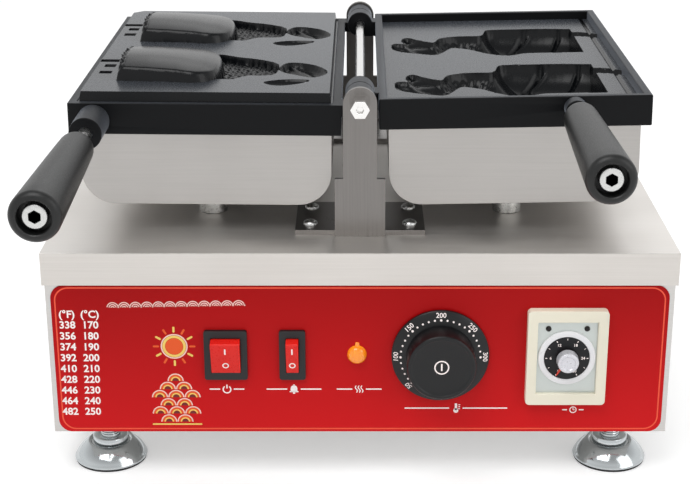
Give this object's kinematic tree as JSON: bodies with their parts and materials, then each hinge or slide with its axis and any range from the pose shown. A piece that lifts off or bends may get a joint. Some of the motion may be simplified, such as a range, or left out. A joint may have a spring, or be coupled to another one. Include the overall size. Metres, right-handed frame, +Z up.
{
  "type": "taiyaki maker",
  "caption": "Countertop fish-cake maker: a steel cabinet with a control panel and levelling feet carries two hinged, heated mould halves with handles.",
  "frame": {"origin": "on the ground, at the bottom centre of the whole machine's box", "axes": "+X to the right along the front, +Y from front to back, along the hinge axis, +Z up"},
  "size_m": [0.373, 0.4836, 0.247],
  "materials": {
    "chassis_steel": "folded stainless sheet, fine brushed",
    "brushed_tray": "brushed stainless sheet",
    "brushed_bracket": "brushed stainless plate",
    "brushed_cover": "satin stainless sheet",
    "red_sheet": "smooth printed sheet, semi-gloss",
    "zinc_steel": "zinc plated",
    "polished_steel": "polished",
    "chrome_foot": "mirror chrome",
    "cast_black": "cast, black coated",
    "nonstick_grey": "cast, non-stick coated, satin",
    "heater_sheath": "dull heated steel",
    "bakelite": "moulded, satin",
    "black_rubber": "moulded",
    "switch_black": "moulded",
    "rocker_red": "translucent red, moulded",
    "amber_lens": "moulded amber lens",
    "knob_black": "moulded, satin",
    "ivory_abs": "moulded, satin",
    "silver_face": "printed plate, satin",
    "dial_black": "printed disc",
    "lamp_red": "clear dark red",
    "pointer_orange": "moulded"
  },
  "bodies": {
    "base": {"cabinet": "chassis_steel", "top_tray": "brushed_tray", "front_overlay": "red_sheet", "floor_plate": "chassis_steel", "floor_screws": "zinc_steel", "foot_inserts": "zinc_steel", "front_bracket": "brushed_bracket", "rear_bracket": "brushed_bracket", "backing_bars": "zinc_steel", "bracket_screws": "zinc_steel", "hinge_shaft": "polished_steel", "shaft_nuts": "polished_steel", "rest_posts": "zinc_steel", "post_caps": "black_rubber", "power_housing": "switch_black", "alarm_housing": "switch_black", "pilot_holder": "switch_black", "pilot_lens": "amber_lens", "thermostat": "zinc_steel", "timer_case": "ivory_abs", "timer_face": "silver_face", "timer_dial": "dial_black", "timer_lamps": "lamp_red", "cable_gland": "switch_black", "gland_nut": "switch_black", "terminal_block": "ivory_abs", "buzzer": "switch_black"},
    "left_half": {"left_frame": "cast_black", "left_mould": "nonstick_grey", "left_heater": "heater_sheath", "left_clamp": "zinc_steel", "left_cover": "brushed_cover", "left_cover_bolts": "zinc_steel", "left_boss": "cast_black", "left_grip": "bakelite", "left_grip_bolt": "polished_steel"},
    "right_half": {"right_frame": "cast_black", "right_mould": "nonstick_grey", "right_heater": "heater_sheath", "right_clamp": "zinc_steel", "right_cover": "brushed_cover", "right_cover_bolts": "zinc_steel", "right_boss": "cast_black", "right_grip": "bakelite", "right_grip_bolt": "polished_steel"},
    "power_rocker": {"power_rocker": "rocker_red"},
    "alarm_rocker": {"alarm_rocker": "rocker_red"},
    "temperature_knob": {"temperature_spindle": "zinc_steel", "temperature_skirt": "knob_black", "temperature_cap": "knob_black"},
    "timer_knob": {"timer_knob": "polished_steel", "timer_pointer": "pointer_orange"},
    "front_left_foot": {"front_left_foot": "chrome_foot", "front_left_pad": "black_rubber"},
    "front_right_foot": {"front_right_foot": "chrome_foot", "front_right_pad": "black_rubber"},
    "rear_left_foot": {"rear_left_foot": "chrome_foot", "rear_left_pad": "black_rubber"},
    "rear_right_foot": {"rear_right_foot": "chrome_foot", "rear_right_pad": "black_rubber"}
  },
  "joints": [
    {"name": "left_half_hinge", "type": "hinge", "parent": "base", "child": "left_half", "pos_m": [0, 0, 0.227], "axis": [0, 1, 0], "range_deg": [0, 178.5]},
    {"name": "right_half_hinge", "type": "hinge", "parent": "base", "child": "right_half", "pos_m": [0, 0, 0.227], "axis": [0, -1, 0], "range_deg": [0, 178.5]},
    {"name": "power_switch", "type": "hinge", "parent": "base", "child": "power_rocker", "pos_m": [-0.0798, -0.09655, 0.0815], "axis": [-1, 0, 0], "range_deg": [0, 18]},
    {"name": "alarm_switch", "type": "hinge", "parent": "base", "child": "alarm_rocker", "pos_m": [-0.0402, -0.09655, 0.0815], "axis": [-1, 0, 0], "range_deg": [0, 18]},
    {"name": "temperature_dial", "type": "hinge", "parent": "base", "child": "temperature_knob", "pos_m": [0.0477, -0.09755, 0.0815], "axis": [0, -1, 0], "range_deg": [0, 270]},
    {"name": "timer_dial_turn", "type": "hinge", "parent": "base", "child": "timer_knob", "pos_m": [0.1225, -0.09755, 0.081], "axis": [0, 1, 0], "range_deg": [0, 300]},
    {"name": "front_left_levelling", "type": "slide", "parent": "base", "child": "front_left_foot", "axis": [0, 0, -1], "range_m": [0, 0.01]},
    {"name": "front_right_levelling", "type": "slide", "parent": "base", "child": "front_right_foot", "axis": [0, 0, -1], "range_m": [0, 0.01]},
    {"name": "rear_left_levelling", "type": "slide", "parent": "base", "child": "rear_left_foot", "axis": [0, 0, -1], "range_m": [0, 0.01]},
    {"name": "rear_right_levelling", "type": "slide", "parent": "base", "child": "rear_right_foot", "axis": [0, 0, -1], "range_m": [0, 0.01]}
  ]
}
